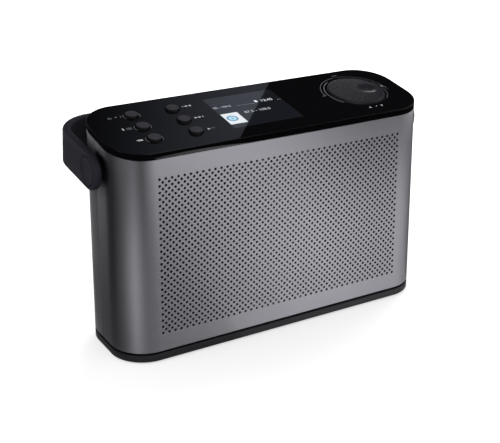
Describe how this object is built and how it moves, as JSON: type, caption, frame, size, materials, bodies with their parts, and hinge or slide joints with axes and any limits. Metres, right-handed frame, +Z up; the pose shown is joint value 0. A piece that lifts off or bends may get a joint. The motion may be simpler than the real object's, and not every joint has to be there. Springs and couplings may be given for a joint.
{
  "type": "tabletop radio",
  "caption": "Portable tabletop radio with a perforated metal front, sloping gloss control panel with display, buttons and tuning knob, swinging carry handle and telescopic aerial.",
  "frame": {"origin": "on the plane the feet stand on, at the centre of the overall width and of the overall depth with the handle lying back", "axes": "+X to the right seen from the front, +Y from the front to the back, +Z up"},
  "size_m": [0.23, 0.09, 0.1417],
  "materials": {
    "sleeve_aluminium": "brushed and anodised gunmetal grey",
    "cover_paint": "moulded, metallic grey paint",
    "base_plastic": "moulded, satin black",
    "fascia_gloss": "polished black acrylic",
    "black_abs": "moulded",
    "grille_cloth": "woven acoustic cloth",
    "foot_rubber": "matt",
    "screw_steel": "plated",
    "speaker_steel": "black plated",
    "cone_paper": "pressed paper pulp",
    "cell_wrap": "shrink wrap",
    "circuit_board": "solder mask",
    "display_glass": "polished",
    "display_lcd": "polarised film",
    "knob_plastic": "fine moulded texture",
    "button_plastic": "fine moulded texture",
    "handle_soft_touch": "soft-touch coating",
    "aerial_chrome": "bright plated"
  },
  "bodies": {
    "housing": {"front_sleeve": "sleeve_aluminium", "speaker_grille": "sleeve_aluminium", "grille_cloth": "grille_cloth", "front_frame": "black_abs", "rear_cover": "cover_paint", "bottom_cover": "base_plastic", "top_panel": "fascia_gloss", "foot_front_left": "foot_rubber", "foot_front_right": "foot_rubber", "foot_rear_left": "foot_rubber", "foot_rear_right": "foot_rubber", "case_screw_1": "screw_steel", "case_screw_2": "screw_steel", "case_screw_3": "screw_steel", "case_screw_4": "screw_steel", "left_speaker": "speaker_steel", "right_speaker": "speaker_steel", "left_speaker_cone": "cone_paper", "right_speaker_cone": "cone_paper", "battery_door": "base_plastic", "battery_pack": "cell_wrap", "main_board": "circuit_board", "control_board": "circuit_board", "dc_socket": "black_abs", "aux_socket": "black_abs", "headphone_socket": "black_abs", "display_window": "display_glass", "display_module": "display_lcd", "encoder_body": "black_abs", "handle_pivot_left": "black_abs", "handle_pivot_right": "black_abs", "pivot_screw_left": "screw_steel", "pivot_screw_right": "screw_steel"},
    "handle": {"carry_handle": "handle_soft_touch", "hub_cap_left": "handle_soft_touch", "hub_cap_right": "handle_soft_touch"},
    "power_button": {"power_button": "button_plastic"},
    "source_button": {"source_button": "button_plastic"},
    "menu_button": {"menu_button": "button_plastic"},
    "previous_button": {"previous_button": "button_plastic"},
    "next_button": {"next_button": "button_plastic"},
    "play_button": {"play_button": "button_plastic"},
    "knob_plunger": {"encoder_plunger": "screw_steel"},
    "tuning_knob": {"tuning_knob": "knob_plastic", "encoder_shaft": "screw_steel"},
    "aerial_swivel": {"aerial_swivel": "aerial_chrome", "aerial_pin": "aerial_chrome"},
    "aerial_rod": {"aerial_tube": "aerial_chrome"},
    "aerial_section_1": {"aerial_section_1": "aerial_chrome"},
    "aerial_section_2": {"aerial_section_2": "aerial_chrome"},
    "aerial_section_3": {"aerial_section_3": "aerial_chrome"},
    "aerial_section_4": {"aerial_section_4": "aerial_chrome"}
  },
  "joints": [
    {"name": "handle_swing", "type": "hinge", "parent": "housing", "child": "handle", "pos_m": [0, -0.01288, 0.115], "axis": [1, 0, 0], "range_deg": [0, 84]},
    {"name": "power_press", "type": "slide", "parent": "housing", "child": "power_button", "axis": [0, 0.1736, -0.9848], "range_m": [0, 0.0008], "stiffness_N_per_m": 600, "springref_m": -0.0008},
    {"name": "source_press", "type": "slide", "parent": "housing", "child": "source_button", "axis": [0, 0.1736, -0.9848], "range_m": [0, 0.0008], "stiffness_N_per_m": 600, "springref_m": -0.0008},
    {"name": "menu_press", "type": "slide", "parent": "housing", "child": "menu_button", "axis": [0, 0.1736, -0.9848], "range_m": [0, 0.0008], "stiffness_N_per_m": 600, "springref_m": -0.0008},
    {"name": "previous_press", "type": "slide", "parent": "housing", "child": "previous_button", "axis": [0, 0.1736, -0.9848], "range_m": [0, 0.0008], "stiffness_N_per_m": 600, "springref_m": -0.0008},
    {"name": "next_press", "type": "slide", "parent": "housing", "child": "next_button", "axis": [0, 0.1736, -0.9848], "range_m": [0, 0.0008], "stiffness_N_per_m": 600, "springref_m": -0.0008},
    {"name": "play_press", "type": "slide", "parent": "housing", "child": "play_button", "axis": [0, 0.1736, -0.9848], "range_m": [0, 0.0008], "stiffness_N_per_m": 600, "springref_m": -0.0008},
    {"name": "knob_press", "type": "slide", "parent": "housing", "child": "knob_plunger", "axis": [0, 0.1736, -0.9848], "range_m": [0, 0.0005], "stiffness_N_per_m": 2500, "springref_m": -0.0006},
    {"name": "knob_turn", "type": "hinge", "parent": "knob_plunger", "child": "tuning_knob", "pos_m": [0.074, -0.01239, 0.13621], "axis": [0, -0.1736, 0.9848], "continuous": true},
    {"name": "aerial_swing", "type": "hinge", "parent": "housing", "child": "aerial_swivel", "pos_m": [0.084, 0.02322, 0.13492], "axis": [0, 1, 0], "range_deg": [0, 180]},
    {"name": "aerial_tilt", "type": "hinge", "parent": "aerial_swivel", "child": "aerial_rod", "pos_m": [0.084, 0.02322, 0.13492], "axis": [0, 0, -1], "range_deg": [0, 90]},
    {"name": "aerial_extend_1", "type": "slide", "parent": "aerial_rod", "child": "aerial_section_1", "axis": [-1, 0, 0], "range_m": [0, 0.135]},
    {"name": "aerial_extend_2", "type": "slide", "parent": "aerial_section_1", "child": "aerial_section_2", "axis": [-1, 0, 0], "range_m": [0, 0.135]},
    {"name": "aerial_extend_3", "type": "slide", "parent": "aerial_section_2", "child": "aerial_section_3", "axis": [-1, 0, 0], "range_m": [0, 0.135]},
    {"name": "aerial_extend_4", "type": "slide", "parent": "aerial_section_3", "child": "aerial_section_4", "axis": [-1, 0, 0], "range_m": [0, 0.135]}
  ],
  "couplings": [
    {"joint": "aerial_extend_2", "follows": "aerial_extend_1", "ratio": 1},
    {"joint": "aerial_extend_3", "follows": "aerial_extend_1", "ratio": 1},
    {"joint": "aerial_extend_4", "follows": "aerial_extend_1", "ratio": 1}
  ]
}
